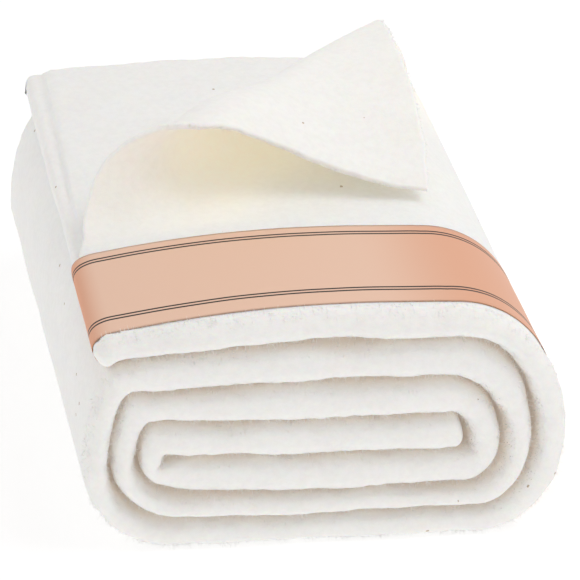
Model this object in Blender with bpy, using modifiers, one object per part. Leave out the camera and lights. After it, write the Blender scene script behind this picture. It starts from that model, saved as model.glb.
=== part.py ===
"""A roll of cotton batting: one long strip, folded flat and wound three times into an oblong roll.

X runs to the right across the wound end, Y runs back along the roll's axis and Z is up, in metres.
Sizes are measured from the table under the heart of the front end, and the objects are then moved
so that the origin is on the table under the middle of the roll. The strip is wound from its inner
end at the right, over to the left, down, back to the right and up, and so on outwards. Its last
layer ends at the upper left. The topmost ply of that layer is loose at its back left corner,
which is folded over to the front right. A paper band holds the front of the roll.
"""

import bpy
import numpy as np

# Whole roll, and the place of its middle from the heart of the front end
ROLL_LENGTH = 0.254
MIDDLE = (-0.006, 0.1271)
HEART_HEIGHT = 0.0448
LAYER_GAP = 0.0012
FRONT_ROUNDING = 0.0085
FRONT_BULGE = 0.0014
BULGE_FROM = 11.30
BULGE_FULL = 11.70
BACK_ROUNDING = 0.003
FRONT_SIDES = 6
BACK_SIDES = 3

# Faces between the winds, measured from the heart of the roll, from the inmost face outwards
REACH_RIGHT = (0.0600, 0.0642, 0.0797, 0.0944, 0.1077)
REACH_UP = (0.0001, 0.0181, 0.0378, 0.0576, 0.0733)
REACH_LEFT = (0.0715, 0.0832, 0.0950, 0.1062, 0.1130)
REACH_DOWN = (0.0001, 0.0190, 0.0313, 0.0448)

# How wide the round corner of each face is, and how its left half leans up or down
CORNER_UP_RIGHT = (0.0015, 0.0120, 0.0313, 0.0426, 0.0610)
CORNER_UP_LEFT = (0.0015, 0.0063, 0.0101, 0.0157, 0.0170)
CORNER_DOWN_LEFT = (0.0310, 0.0240, 0.0276, 0.0390)
CORNER_DOWN_RIGHT = (0.0100, 0.0163, 0.0233, 0.0361)
LEAN_UP = (0.0035, 0.0032, -0.0031, -0.0089, -0.0140)
LEAN_DOWN = (-0.0035, -0.0034, -0.0026, 0.0)

# The left side spreads towards the back, and behind the band the top swells and grows level
SPREAD_LEFT = (0.0, 0.0040, 0.0090, 0.0150, 0.0080)
SWELL_UP = (0.0, 0.0018, 0.0040, 0.0060, 0.0080)
SWELL_FROM = 0.078
SWELL_MIDDLE = 0.166
LEVELLED = 0.45

# Ends of the wound strip, in quarter turns from the right, and their round noses
INNER_END = 0.5
OUTER_END = 13.58
INNER_NOSE = 0.0055
OUTER_NOSE = 0.0045
BACK_NOSE = 0.0060
NOSE_ANGLES = (24.0, 48.0, 68.0, 82.0)
NOSE_TOP_POWER = 2.4
NOSE_FOOT_POWER = 3.0

# Loose top ply, and the rebate that it lies in, whose front step is under the band
PLY_THICKNESS = 0.0030
PLY_REST = 0.0004
PLY_FRONT = 0.0405
PLY_LEFT = -0.1000
PLY_END = 11.75
PLY_SPACING = 0.0078
REBATE = PLY_THICKNESS + PLY_REST
REBATE_TAPER = 0.08
STEP_FRONT = 0.0399
STEP_BACK = 0.0401

# The ply's side starts at this x, and its top lies above this height
SIDE_FROM = 0.0765
TOP_ABOVE = 0.080

# Folded-over corner of the ply: its crease, and along it the curl's radius, start and sweep
CREASE_AT = 0.0908
CREASE_ANGLE = 45.82
CURL_STATIONS = (0.0, 0.03, 0.07, 0.12, 0.17, 0.24)
CURL_RADIUS = (0.0443, 0.0229, 0.0214, 0.0154, 0.0151, 0.0148)
CURL_LEAD = (0.0135, 0.0332, 0.0260, 0.0243, 0.0240, 0.0272)
CURL_SWEEP = (251.0, 224.0, 213.0, 196.0, 174.0, 141.0)
CURL_EASE = (-0.012, -0.006, 0.0, 0.006, 0.012)
CURL_FOOT = 0.5
LIFT_LENGTH = 0.010
REST_CROWN_X = 0.025
REST_FALL = 0.62

# Paper band
BAND_THICKNESS = 0.0004
BAND_LIFT = 0.0005
BAND_FRONT = 0.0090
BAND_BACK = 0.0770
BAND_MARGIN = 0.003
BAND_TUCK = 13.28
BAND_END = 11.20
BAND_NOSE = 176.0
BAND_NOSE_STEP = 8.0
RECESS = 0.0011
RECESS_BEYOND = 0.1
RECESS_FULL = 11.60
RECESS_NONE = 11.75

# Quarter turns between a face and the same face one wind further out
WIND = 4
LAST_WIND = 3
STEPS_CORNER = 6
STEPS_FLAT = 3
LEAST_STEP = 0.02


def smooth(value):
    """Ease from 0 to 1 as the value goes from 0 to 1."""
    value = np.clip(value, 0.0, 1.0)
    return value * value * (3.0 - 2.0 * value)


def swell(y):
    """How far the top has swollen at depth y, from 0 at the band to 1 at the back."""
    return max(y - SWELL_FROM, 0.0) / (ROLL_LENGTH - SWELL_FROM)


def left_reach(wind, y):
    """How far this face reaches to the left at depth y."""
    return REACH_LEFT[wind] + SPREAD_LEFT[wind] * y / ROLL_LENGTH


def top_rise(wind, y):
    """How high this face rises above the heart at depth y."""
    return REACH_UP[wind] + SWELL_UP[wind] * swell(y)


def top_lean(wind, y):
    """How this face's upper left half leans at depth y."""
    return LEAN_UP[wind] * (1.0 - LEVELLED * swell(y))


def face_point(turn, y):
    """The point of the spiral of faces at this many quarter turns, at depth y."""
    quarter = int(np.floor(turn))
    part = turn - quarter
    wind, side = divmod(quarter, WIND)
    if side == 0:
        across, up, share = 1, 1, part
        reach, rise, corner, lean = REACH_RIGHT[wind], top_rise(wind, y), CORNER_UP_RIGHT[wind], 0.0
    elif side == 1:
        across, up, share = -1, 1, 1.0 - part
        reach, rise = left_reach(wind, y), top_rise(wind, y)
        corner, lean = CORNER_UP_LEFT[wind], top_lean(wind, y)
    elif side == 2:
        across, up, share = -1, -1, part
        reach, rise = left_reach(wind, y), REACH_DOWN[wind]
        corner, lean = CORNER_DOWN_LEFT[wind], LEAN_DOWN[wind]
    else:
        across, up, share = 1, -1, 1.0 - part
        reach, rise, corner, lean = REACH_RIGHT[wind + 1], REACH_DOWN[wind], CORNER_DOWN_RIGHT[wind], 0.0
    flat = reach - corner
    if share < 0.5:
        angle = np.pi * share
        x = flat + corner * np.cos(angle)
        height = np.sin(angle)
    else:
        x = flat * (2.0 - 2.0 * share)
        height = 1.0
    z = (rise + lean * (x / reach) ** 2) * height
    return np.array([across * x, HEART_HEIGHT + up * z])


def face_normal(turn, y):
    """The outward direction of the spiral of faces there."""
    ahead = face_point(turn + LEAST_STEP, y) - face_point(turn - LEAST_STEP, y)
    return np.array([ahead[1], -ahead[0]]) / np.linalg.norm(ahead)


def sunk(turn, y):
    """How far the roll's outside lies below its face, for the loose ply and for the band."""
    below = turn - WIND
    ply, band = 0.0, 0.0
    if y >= STEP_BACK:
        ply = REBATE * smooth((below - PLY_END + REBATE_TAPER) / REBATE_TAPER)
    if BAND_FRONT - PLY_REST <= y <= BAND_BACK + PLY_REST and below > BAND_END - RECESS_BEYOND:
        band = RECESS * smooth((RECESS_NONE - below) / (RECESS_NONE - RECESS_FULL))
    return max(ply, band)


def layer_point(turn, y, across):
    """A point inside the strip: across is -1 on its inner face and 1 on its outer face."""
    inner = face_point(turn, y)
    outer = face_point(turn + WIND, y) - face_normal(turn + WIND, y) * sunk(turn + WIND, y)
    gap = (outer - inner) / np.linalg.norm(outer - inner) * LAYER_GAP / 2.0
    on_outside = turn > WIND * (LAST_WIND - 1) + 2
    inner = inner + gap
    if on_outside:
        bulge = FRONT_BULGE * np.sin(np.pi * min(y / FRONT_ROUNDING, 1.0))
        bulge *= smooth((turn - BULGE_FROM) / (BULGE_FULL - BULGE_FROM))
        outer = outer + face_normal(turn + WIND, y) * bulge
    else:
        outer = outer - gap
    return inner + (outer - inner) * (across + 1.0) / 2.0


def strip_outline():
    """The strip's cross-section across the roll: depth y and place between the faces, all round."""
    outline = []
    for angle in np.radians(np.linspace(-90.0, 90.0, FRONT_SIDES + 1)):
        outline.append((FRONT_ROUNDING * (1.0 - np.cos(angle)), np.sin(angle)))
    rows = (BAND_FRONT - PLY_REST, STEP_FRONT, STEP_BACK, BAND_BACK + PLY_REST, SWELL_FROM, SWELL_MIDDLE)
    outline += [(y, 1.0) for y in rows]
    for angle in np.radians(np.linspace(90.0, -90.0, BACK_SIDES + 1)):
        outline.append((ROLL_LENGTH - BACK_ROUNDING * (1.0 - np.cos(angle)), np.sin(angle)))
    outline += [(y, -1.0) for y in (SWELL_MIDDLE, SWELL_FROM, STEP_FRONT)]
    return outline


def end_cap(outline):
    """Triangles that close the strip's cross-section, worked along both its faces from the front."""
    tip = min(range(len(outline)), key=lambda i: outline[i][0])
    count = len(outline)
    outer, inner = tip, tip
    triangles = []
    while (outer + 1) % count != inner:
        next_outer, next_inner = (outer + 1) % count, (inner - 1) % count
        if outline[next_outer][0] <= outline[next_inner][0]:
            triangles.append((inner, outer, next_outer))
            outer = next_outer
        else:
            triangles.append((inner, outer, next_inner))
            inner = next_inner
    return [triangle for triangle in triangles if len(set(triangle)) == 3]


def turn_stations(first, last):
    """Quarter-turn values from first to last, closer together on the round corners."""
    stations = []
    for quarter in range(int(first), int(last) + 1):
        corner_first = quarter % 2 == 0
        a, b = (STEPS_CORNER, STEPS_FLAT) if corner_first else (STEPS_FLAT, STEPS_CORNER)
        stations += list(quarter + 0.5 * np.arange(a) / a)
        stations += list(quarter + 0.5 + 0.5 * np.arange(b) / b)
    inside = [turn for turn in stations if first + LEAST_STEP < turn < last - LEAST_STEP]
    return [first] + inside + [last]


def nose_length(y):
    """How far the outer end's nose stands out at depth y."""
    return OUTER_NOSE + (BACK_NOSE - OUTER_NOSE) * swell(y)


def nose_shares(angle, across):
    """How far ahead and how far across a nose's point is: a superellipse, squarer on its inner side."""
    power = NOSE_TOP_POWER + (NOSE_FOOT_POWER - NOSE_TOP_POWER) * (1.0 - across) / 2.0
    return np.sin(angle) ** (2.0 / power), abs(np.cos(angle)) ** (2.0 / power)


def nose_depth(y, angle):
    """Depth of a nose's row: the rounded front and back draw in as the nose closes."""
    front, back = max(FRONT_ROUNDING - y, 0.0), max(y - ROLL_LENGTH + BACK_ROUNDING, 0.0)
    return y + (front - back) * (1.0 - np.cos(angle))


def nose_point(turn, y, across, direction, length, angle):
    """A point of the round nose beyond the strip's end at this turn."""
    inner, outer = layer_point(turn, y, -1.0), layer_point(turn, y, 1.0)
    middle = (inner + outer) / 2.0
    chord = (outer - inner) / np.linalg.norm(outer - inner)
    ahead = direction * np.array([-chord[1], chord[0]])
    reach, width = nose_shares(angle, across)
    return middle + ahead * length * reach + (outer - inner) / 2.0 * across * width


def wound_rings():
    """The rings of points that the roll's skin is lofted through, from its inner to its outer end."""
    outline = strip_outline()
    nose_angles = np.radians(NOSE_ANGLES)
    rings = []
    for angle in nose_angles[::-1]:
        drawn_in = [(nose_depth(y, angle), w) for y, w in outline]
        rings.append([(y, nose_point(INNER_END, y, w, -1.0, INNER_NOSE, angle)) for y, w in drawn_in])
    for turn in turn_stations(INNER_END, OUTER_END):
        rings.append([(y, layer_point(turn, y, w)) for y, w in outline])
    for angle in nose_angles:
        drawn_in = [(nose_depth(y, angle), w) for y, w in outline]
        rings.append([(y, nose_point(OUTER_END, y, w, 1.0, nose_length(y), angle)) for y, w in drawn_in])
    return [[(x, y, z) for y, (x, z) in ring] for ring in rings]


def nose_path(y):
    """The band's section points round the outer nose at depth y, from its foot to its top."""
    inner, outer = layer_point(OUTER_END, y, -1.0), face_point(OUTER_END + WIND, y)
    middle, half = (inner + outer) / 2.0, np.linalg.norm(outer - inner) / 2.0
    chord = (outer - inner) / (2.0 * half)
    ahead = np.array([-chord[1], chord[0]])
    points = []
    for angle in np.radians(np.arange(BAND_NOSE, BAND_NOSE_STEP / 2.0, -BAND_NOSE_STEP)):
        side = np.sign(np.cos(angle))
        reach, width = nose_shares(angle, side)
        points.append(middle + ahead * (nose_length(y) + BAND_LIFT) * reach + chord * (half + BAND_LIFT) * side * width)
    return points


def outside_path(first, last, lift, y):
    """Section points (x, z) and normals of the roll's outside at depth y, from its outer end to under its right."""
    points, normals = [], []
    for turn in turn_stations(first, last)[::-1]:
        face, normal = face_point(turn + WIND, y), face_normal(turn + WIND, y)
        recess = smooth((RECESS_NONE - turn) / (RECESS_NONE - RECESS_FULL)) if lift > 0.0 else 0.0
        points.append(face + normal * (lift - recess * 2.0 * BAND_LIFT))
        normals.append(normal)
    return np.array(points), np.array(normals)


def band_path(y):
    """The band's section at depth y: from its tucked end, round the nose, over the top and under the right side."""
    tuck = [face_point(turn, y) for turn in turn_stations(BAND_TUCK, OUTER_END)[:-1]]
    return tuck + nose_path(y) + list(outside_path(BAND_END, OUTER_END, BAND_LIFT, y)[0])


def ply_height(x, y, section):
    """Height of the ply's middle where it lies flat on the roll's top, at plan x, y."""
    reach = left_reach(-1, y)
    if x < CORNER_UP_LEFT[-1] - reach:
        rise = top_rise(-1, y) + top_lean(-1, y) * (x / reach) ** 2
        return HEART_HEIGHT + rise - PLY_THICKNESS / 2.0
    top = section[section[:, 1] > TOP_ABOVE]
    return np.interp(x, top[:, 0], top[:, 1])


def along_crease(t, values):
    """A value at this place along the crease: straight between the stations, averaged over the places nearby."""
    return np.mean([np.interp(t + shift, CURL_STATIONS, values) for shift in CURL_EASE])


def folded_over(x, y, base, normal):
    """Where the ply's point at plan x, y goes from its place on the roll when the corner is folded over."""
    along = np.array([np.cos(np.radians(CREASE_ANGLE)), np.sin(np.radians(CREASE_ANGLE))])
    away = np.array([-along[1], along[0]])
    start = np.array([PLY_LEFT, CREASE_AT])
    t, s = (np.array([x, y]) - start) @ along, (np.array([x, y]) - start) @ away
    radius, lead = along_crease(t, CURL_RADIUS), along_crease(t, CURL_LEAD)
    sweep = np.radians(along_crease(t, CURL_SWEEP))
    over = s + lead
    if over <= 0.0:
        return base
    angle = min(over / radius, sweep)
    rest = over - angle * radius
    across = -lead + radius * np.sin(angle) + rest * np.cos(angle)
    height = radius * (1.0 - np.cos(angle)) + rest * np.sin(angle)
    shift = away * (across - s)
    foot = base + normal * height + np.array([shift[0], shift[1], 0.0])
    plan = start + t * along + across * away
    crown = HEART_HEIGHT + top_rise(-1, plan[1]) - PLY_THICKNESS / 2.0 - REST_FALL * (plan[0] - REST_CROWN_X) ** 2
    curl = np.array([plan[0], plan[1], crown + height])
    return foot + (curl - foot) * smooth(over / radius - CURL_FOOT)


def evenly_split(stops, spacing):
    """The stops with points added between them, no further apart than this spacing."""
    points = []
    for a, b in zip(stops[:-1], stops[1:]):
        points += list(np.linspace(a, b, int(np.ceil((b - a) / spacing)) + 1)[:-1])
    return points + [stops[-1]]


def ply_rows():
    """The loose ply's points, row by row from under the band to the back."""
    section, _ = outside_path(PLY_END, OUTER_END, -PLY_THICKNESS / 2.0, 0.0)
    place = np.concatenate([[0.0], np.cumsum(np.linalg.norm(np.diff(section, axis=0), axis=1))])
    side = int(np.argmax(section[:, 0] > SIDE_FROM))
    top = int(np.argmax(section[:, 0] >= CORNER_UP_LEFT[-1] - REACH_LEFT[-1] - PLY_REST))
    spread = section[:, 0].copy()
    spread[:top] = PLY_LEFT + (section[top][0] - PLY_LEFT) * place[:top] / place[top]
    spread[side:] = section[side][0] + place[side:] - place[side]
    columns = evenly_split(place[:side + 1], PLY_SPACING) + list(place[side + 1:])
    depths = evenly_split([PLY_FRONT, BAND_BACK + BAND_MARGIN, ROLL_LENGTH], PLY_SPACING)
    return [ply_row(y, np.interp(columns, place, np.arange(len(place))), spread, side) for y in depths]


def ply_row(y, columns, spread, side):
    """One row of the ply at depth y. The columns are places between the points of the roll's outside."""
    section, normals = outside_path(PLY_END, OUTER_END, -PLY_THICKNESS / 2.0, y)
    free = smooth((y - BAND_BACK - BAND_MARGIN) / LIFT_LENGTH)
    numbers = np.arange(len(section))
    row = []
    for column in columns:
        x, held_x, held_z = (np.interp(column, numbers, values) for values in (spread, *section.T))
        across, up = (np.interp(column, numbers, values) for values in normals.T)
        held = np.array([held_x, y, held_z])
        flat = np.array([x, y, ply_height(x, y, section)]) if column < side else held
        away = np.array([0.0, 0.0, 1.0]) if x < 0.0 else np.array([across, 0.0, up])
        row.append(held + (folded_over(x, y, flat, away) - held) * free)
    return row


def mesh_object(name, points, faces, material, collection):
    """A mesh object of these points and faces, with its material, in this collection."""
    mesh = bpy.data.meshes.new(name)
    mesh.from_pydata([tuple(map(float, point)) for point in points], [], faces)
    mesh.materials.append(material)
    mesh.shade_smooth()
    made = bpy.data.objects.new(name, mesh)
    made.location = (-MIDDLE[0], -MIDDLE[1], 0.0)
    collection.objects.link(made)
    return made


def add_solidify(made, thickness):
    """Thickness put evenly on both sides of an open surface."""
    solidify = made.modifiers.new("Thickness", "SOLIDIFY")
    solidify.thickness = thickness
    solidify.offset = 0.0
    solidify.use_even_offset = True


def loft(rings, closed):
    """Points and faces of a skin through these rings, each ring closed on itself or open."""
    count = len(rings[0])
    points = [point for ring in rings for point in ring]
    faces = []
    for i in range(len(rings) - 1):
        for j in range(count if closed else count - 1):
            k = (j + 1) % count
            faces.append((i * count + j, i * count + k, (i + 1) * count + k, (i + 1) * count + j))
    return points, faces


def make_material(name, colour, roughness):
    """A Principled material of one colour."""
    material = bpy.data.materials.new(name)
    material.use_nodes = True
    shader = material.node_tree.nodes["Principled BSDF"]
    shader.inputs["Base Color"].default_value = (*colour, 1.0)
    shader.inputs["Roughness"].default_value = roughness
    shader.inputs["Metallic"].default_value = 0.0
    return material


def make_roll(collection):
    """The wound strip as one solid."""
    material = make_material("Cotton batting", (0.86, 0.85, 0.81), 1.0)
    rings = wound_rings()
    points, faces = loft(rings, closed=True)
    last_ring = len(points) - len(rings[0])
    for a, b, c in end_cap(strip_outline()):
        faces.append((c, b, a))
        faces.append((last_ring + a, last_ring + b, last_ring + c))
    return mesh_object("batting_roll", points, faces, material, collection)


def make_ply(collection):
    """The loose top ply with its folded-over corner."""
    material = make_material("Loose cotton ply", (0.87, 0.86, 0.82), 1.0)
    points, faces = loft(ply_rows(), closed=False)
    made = mesh_object("loose_ply", points, faces, material, collection)
    add_solidify(made, PLY_THICKNESS)
    return made


def make_band(collection):
    """The paper band, plain, with its left end tucked under the outer layer."""
    material = make_material("Band paper", (0.79, 0.54, 0.40), 0.55)
    sections = zip(band_path(BAND_FRONT), band_path(BAND_BACK))
    rings = [[(a[0], BAND_FRONT, a[1]), (b[0], BAND_BACK, b[1])] for a, b in sections]
    points, faces = loft(rings, closed=False)
    made = mesh_object("paper_band", points, faces, material, collection)
    add_solidify(made, BAND_THICKNESS)
    return made


for old in list(bpy.data.objects):
    bpy.data.objects.remove(old, do_unlink=True)
roll_parts = bpy.data.collections.new("Cotton batting roll")
bpy.context.scene.collection.children.link(roll_parts)
make_roll(roll_parts)
make_ply(roll_parts)
make_band(roll_parts)
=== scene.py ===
# %% [markdown]
# # A roll of cotton batting
#
# Batting is the soft sheet of cotton that goes inside a quilt. This one stands for a 60 by 60
# inch piece of about 3 mm loft. It was folded in three and then in half, which makes a strip of
# six plies, 254 mm wide and 18 mm thick. The strip was wound flat from one end, and a paper band
# holds the roll. The strip here comes out at 1.44 m, 5 % short of 60 inches, because the photo
# gives only the front. At the back left, the top ply is folded over in a soft curl.
#
# Every piece below is a surface worked out with numpy: a grid of points from a formula with two
# parameters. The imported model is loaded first, because all sizes and places come from it.

import bpy
import numpy as np
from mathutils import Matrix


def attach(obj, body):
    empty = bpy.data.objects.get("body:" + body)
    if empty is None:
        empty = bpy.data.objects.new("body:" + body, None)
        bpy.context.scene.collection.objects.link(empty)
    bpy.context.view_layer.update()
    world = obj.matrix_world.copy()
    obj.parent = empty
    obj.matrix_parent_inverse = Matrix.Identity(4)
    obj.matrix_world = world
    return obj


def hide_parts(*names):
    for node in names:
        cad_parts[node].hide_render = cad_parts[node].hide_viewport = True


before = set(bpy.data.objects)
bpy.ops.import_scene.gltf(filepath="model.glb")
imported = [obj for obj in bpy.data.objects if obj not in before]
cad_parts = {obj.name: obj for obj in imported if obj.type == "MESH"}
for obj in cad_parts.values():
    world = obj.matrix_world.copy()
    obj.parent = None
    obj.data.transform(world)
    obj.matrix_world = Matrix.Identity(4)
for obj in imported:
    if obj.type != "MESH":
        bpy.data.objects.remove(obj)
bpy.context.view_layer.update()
print("packed nodes:", ", ".join(sorted(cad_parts)))

# %% [markdown]
# ## Camera
#
# The photo was taken with a long lens, a little to the left of the roll and 30 degrees above it.
# The position and the turn were solved once from the straight edges of the roll. A camera looks
# along its own -Z with +Y up, so its three axes are written as the columns of its matrix.

# %% Camera
from mathutils import Matrix

CAMERA_PLACE = (-0.1855, -0.9184, 0.5992)
CAMERA_DOWN = np.radians(30.0)
CAMERA_YAW = np.radians(12.035)
CAMERA_ROLL = np.radians(-4.261)
LENS_MM = 140.0
SENSOR_MM = 36.0


def camera_axes(down, yaw, roll):
    """Right, up and back of a camera that looks along +Y, turned to the right, tipped down and rolled."""
    forward = np.array([np.sin(yaw) * np.cos(down), np.cos(yaw) * np.cos(down), -np.sin(down)])
    level = np.array([np.cos(yaw), -np.sin(yaw), 0.0])
    below = np.cross(forward, level)
    right = np.cos(roll) * level + np.sin(roll) * below
    under = np.cos(roll) * below - np.sin(roll) * level
    return right, -under, -forward


camera_data = bpy.data.cameras.new("Camera")
camera_data.lens = LENS_MM
camera_data.sensor_width = SENSOR_MM
camera_data.clip_end = 20.0
camera = bpy.data.objects.new("Camera", camera_data)
bpy.context.scene.collection.objects.link(camera)
turned = Matrix(np.array(camera_axes(CAMERA_DOWN, CAMERA_YAW, CAMERA_ROLL)).T.tolist()).to_4x4()
camera.matrix_world = Matrix.Translation(CAMERA_PLACE) @ turned
bpy.context.scene.camera = camera
print("camera at", CAMERA_PLACE)

# %% [markdown]
# ## The spiral
#
# The faces between the layers form one spiral. It is not round: each quarter turn is a quarter of
# an ellipse for the corner and then a nearly straight run. The numbers are the reach of each
# quarter from the roll's heart, from the inmost face outwards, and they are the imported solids'
# own. A turn value of 0 is the right of the heart, and 1 is its top.

# %% Numbers of the spiral
HEART = np.array([0.006, 0.0448])
FRONT = -0.1271
LENGTH = 0.254
REACH_RIGHT = np.array([0.0600, 0.0642, 0.0797, 0.0944, 0.1077])
REACH_UP = np.array([0.0001, 0.0181, 0.0378, 0.0576, 0.0733])
REACH_LEFT = np.array([0.0715, 0.0832, 0.0950, 0.1062, 0.1130])
REACH_DOWN = np.array([0.0001, 0.0190, 0.0313, 0.0448, 0.0448])
CORNER_UP_RIGHT = np.array([0.0015, 0.0120, 0.0313, 0.0426, 0.0610])
CORNER_UP_LEFT = np.array([0.0015, 0.0063, 0.0101, 0.0157, 0.0170])
CORNER_DOWN_LEFT = np.array([0.0310, 0.0240, 0.0276, 0.0390, 0.0390])
CORNER_DOWN_RIGHT = np.array([0.0100, 0.0163, 0.0233, 0.0361, 0.0361])
LEAN_UP = np.array([0.0035, 0.0032, -0.0031, -0.0089, -0.0140])
LEAN_DOWN = np.array([-0.0035, -0.0034, -0.0026, 0.0, 0.0])
SPREAD_LEFT = np.array([0.0, 0.0040, 0.0090, 0.0150, 0.0080])
SWELL_UP = np.array([0.0, 0.0018, 0.0040, 0.0060, 0.0080])
SWELL_FROM = 0.078
LEVELLED = 0.45
WIND = 4


def ease(value):
    """0 below 0, 1 above 1, and a smooth S between: value squared times three minus twice the value."""
    value = np.clip(value, 0.0, 1.0)
    return value * value * (3.0 - 2.0 * value)


def swell(depth):
    """How far the top has swollen towards the back: 0 at the band, 1 at the back end."""
    return np.clip(depth - SWELL_FROM, 0.0, None) / (LENGTH - SWELL_FROM)


def top_height(x, depth):
    """Height of the outermost face on the left half of the top: its rise, and its lean times a square."""
    reach = REACH_LEFT[4] + SPREAD_LEFT[4] * depth / LENGTH
    lean = LEAN_UP[4] * (1.0 - LEVELLED * swell(depth))
    return HEART[1] + REACH_UP[4] + SWELL_UP[4] * swell(depth) + lean * ((x - HEART[0]) / reach) ** 2


def spiral_face(turn, depth):
    """Points (x, z) of the spiral: reach by cosine and rise by sine on a corner, a straight run after it."""
    turn, depth = np.broadcast_arrays(turn, depth)
    quarter = np.floor(turn).astype(int)
    part = turn - quarter
    wind, side = np.minimum(quarter // WIND, 4), quarter % WIND
    left = REACH_LEFT[wind] + SPREAD_LEFT[wind] * depth / LENGTH
    sides = [REACH_RIGHT[wind], left, left, REACH_RIGHT[np.minimum(wind + 1, 4)]]
    reach = np.choose(side, sides)
    rise = np.where(side < 2, REACH_UP[wind] + SWELL_UP[wind] * swell(depth), REACH_DOWN[wind])
    corners = [CORNER_UP_RIGHT[wind], CORNER_UP_LEFT[wind], CORNER_DOWN_LEFT[wind], CORNER_DOWN_RIGHT[wind]]
    corner = np.choose(side, corners)
    lean_up = LEAN_UP[wind] * (1.0 - LEVELLED * swell(depth))
    lean = np.choose(side, [0.0 * reach, lean_up, LEAN_DOWN[wind], 0.0 * reach])
    share = np.where(side % 2 == 0, part, 1.0 - part)
    round_part = share < 0.5
    angle = np.pi * np.minimum(share, 0.5)
    x = np.where(round_part, reach - corner + corner * np.cos(angle), (reach - corner) * 2.0 * (1.0 - share))
    height = np.where(round_part, np.sin(angle), 1.0)
    z = (rise + lean * (x / reach) ** 2) * height
    across = np.where((side == 0) | (side == 3), 1.0, -1.0)
    up = np.where(side < 2, 1.0, -1.0)
    return np.stack([HEART[0] + across * x, HEART[1] + up * z], -1)


def spiral_outward(turn, depth):
    """Unit vectors (x, z) that point out of the spiral: the step along it, turned by a right angle."""
    ahead = spiral_face(turn + 0.02, depth) - spiral_face(turn - 0.02, depth)
    outward = np.stack([ahead[..., 1], -ahead[..., 0]], -1)
    return outward / np.linalg.norm(outward, axis=-1, keepdims=True)


print("spiral is %.0f mm wide at the front" % (1000 * (REACH_RIGHT[4] + REACH_LEFT[3])))

# %% [markdown]
# ## Uneven like cotton
#
# Batting is never even: its edges wander and its faces are gently lumpy. Lattice noise gives
# that. Each corner of a cubic lattice gets a number from a fixed mixing of its whole-number
# position, and the points between are blended. The same position always gives the same number,
# so the roll comes out alike on every run.

# %% Lattice noise
MIXERS = np.array([73856093, 19349663, 83492791])
TOP_BITS = 0xFFFFF


def lumps(points, size, seed):
    """Smooth numbers from -1 to 1 on a lattice of this size: eight corner values, blended smoothly."""
    cell = np.asarray(points) / size
    low = np.floor(cell).astype(np.int64)
    part = ease(cell - low)
    total = np.zeros(cell.shape[:-1])
    for corner in np.ndindex(2, 2, 2):
        mixed = ((low + corner) * MIXERS).sum(-1) ^ (seed * 2654435761)
        mixed = (mixed ^ (mixed >> 13)) * 1274126177
        value = ((mixed ^ (mixed >> 16)) & TOP_BITS) / (TOP_BITS / 2.0) - 1.0
        weight = np.where(np.array(corner) == 1, part, 1.0 - part).prod(-1)
        total += weight * value
    return total


def grid_normals(points, closed):
    """Unit normals of a grid of points: the cross product of its steps along the two parameters."""
    along = np.gradient(points, axis=0)
    if closed:
        across = (np.roll(points, -1, axis=1) - np.roll(points, 1, axis=1)) / 2.0
    else:
        across = np.gradient(points, axis=1)
    normal = np.cross(along, across)
    return normal / np.maximum(np.linalg.norm(normal, axis=-1, keepdims=True), 1e-12)


print("a lump at the origin:", round(float(lumps(np.zeros(3), 0.01, 1)), 3))

# %% [markdown]
# ## From arrays to a mesh
#
# A grid of points becomes four-sided faces between neighbouring rows and columns. The points
# that no face uses are dropped before Blender gets the mesh.

# %% Mesh helpers
def grid_quads(index, closed):
    """Faces between neighbours in a grid of point numbers, joined round in the second direction if closed."""
    nearer, further = index[:-1], index[1:]
    if closed:
        aside = np.roll(index, -1, axis=1)
        quads = np.stack([nearer, aside[:-1], aside[1:], further], -1)
    else:
        quads = np.stack([nearer[:, :-1], nearer[:, 1:], further[:, 1:], further[:, :-1]], -1)
    return quads.reshape(-1, 4)


def new_piece(name, points, faces, material):
    """A mesh object at the origin from an array of points and a list of faces, on the model's one body."""
    used = np.unique(np.concatenate([np.ravel(face) for face in faces]))
    place = np.zeros(len(points), int)
    place[used] = np.arange(len(used))
    mesh = bpy.data.meshes.new(name)
    mesh.from_pydata(points[used].tolist(), [], [place[face].tolist() for face in faces])
    mesh.materials.append(material)
    mesh.shade_smooth()
    piece = bpy.data.objects.new(name, mesh)
    bpy.context.scene.collection.objects.link(piece)
    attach(piece, "root")
    count = sum(len(face) - 2 for face in faces)
    print("%s: %d triangles" % (name, count))
    return piece, used


def add_painted_shade_glow(piece, values):
    """A number from 0 to 1 for each point of the piece, which the cotton's material reads as painted tan
    shade and painted glow.
    """
    painted_shade_glow = piece.data.attributes.new("PaintedShadeGlow", "FLOAT", "POINT")
    painted_shade_glow.data.foreach_set("value", values)


# %% [markdown]
# ## Shader maths as Python
#
# A socket wrapped in this small class can be added, subtracted, multiplied and divided like a
# number, and each sign adds one Math node. All other nodes come from one method.

# %% Shader helper
class Wire:
    """A socket of a node tree that Python's own signs can work on."""

    def __init__(self, tree, socket):
        self.tree, self.socket = tree, socket

    def math(self, operation, first, second):
        node = self.tree.nodes.new("ShaderNodeMath")
        node.operation = operation
        for socket, value in zip(node.inputs, (first, second)):
            if isinstance(value, Wire):
                self.tree.links.new(value.socket, socket)
            else:
                socket.default_value = value
        return Wire(self.tree, node.outputs[0])

    def __add__(self, other):
        return self.math("ADD", self, other)

    def __radd__(self, other):
        return self.math("ADD", other, self)

    def __sub__(self, other):
        return self.math("SUBTRACT", self, other)

    def __rsub__(self, other):
        return self.math("SUBTRACT", other, self)

    def __mul__(self, other):
        return self.math("MULTIPLY", self, other)

    def __rmul__(self, other):
        return self.math("MULTIPLY", other, self)

    def __truediv__(self, other):
        return self.math("DIVIDE", self, other)

    def least(self, other):
        return self.math("MINIMUM", self, other)

    def most(self, other):
        return self.math("MAXIMUM", self, other)

    def below(self, other):
        return self.math("LESS_THAN", self, other)

    def size(self):
        return self.math("ABSOLUTE", self, 0.0)


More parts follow.
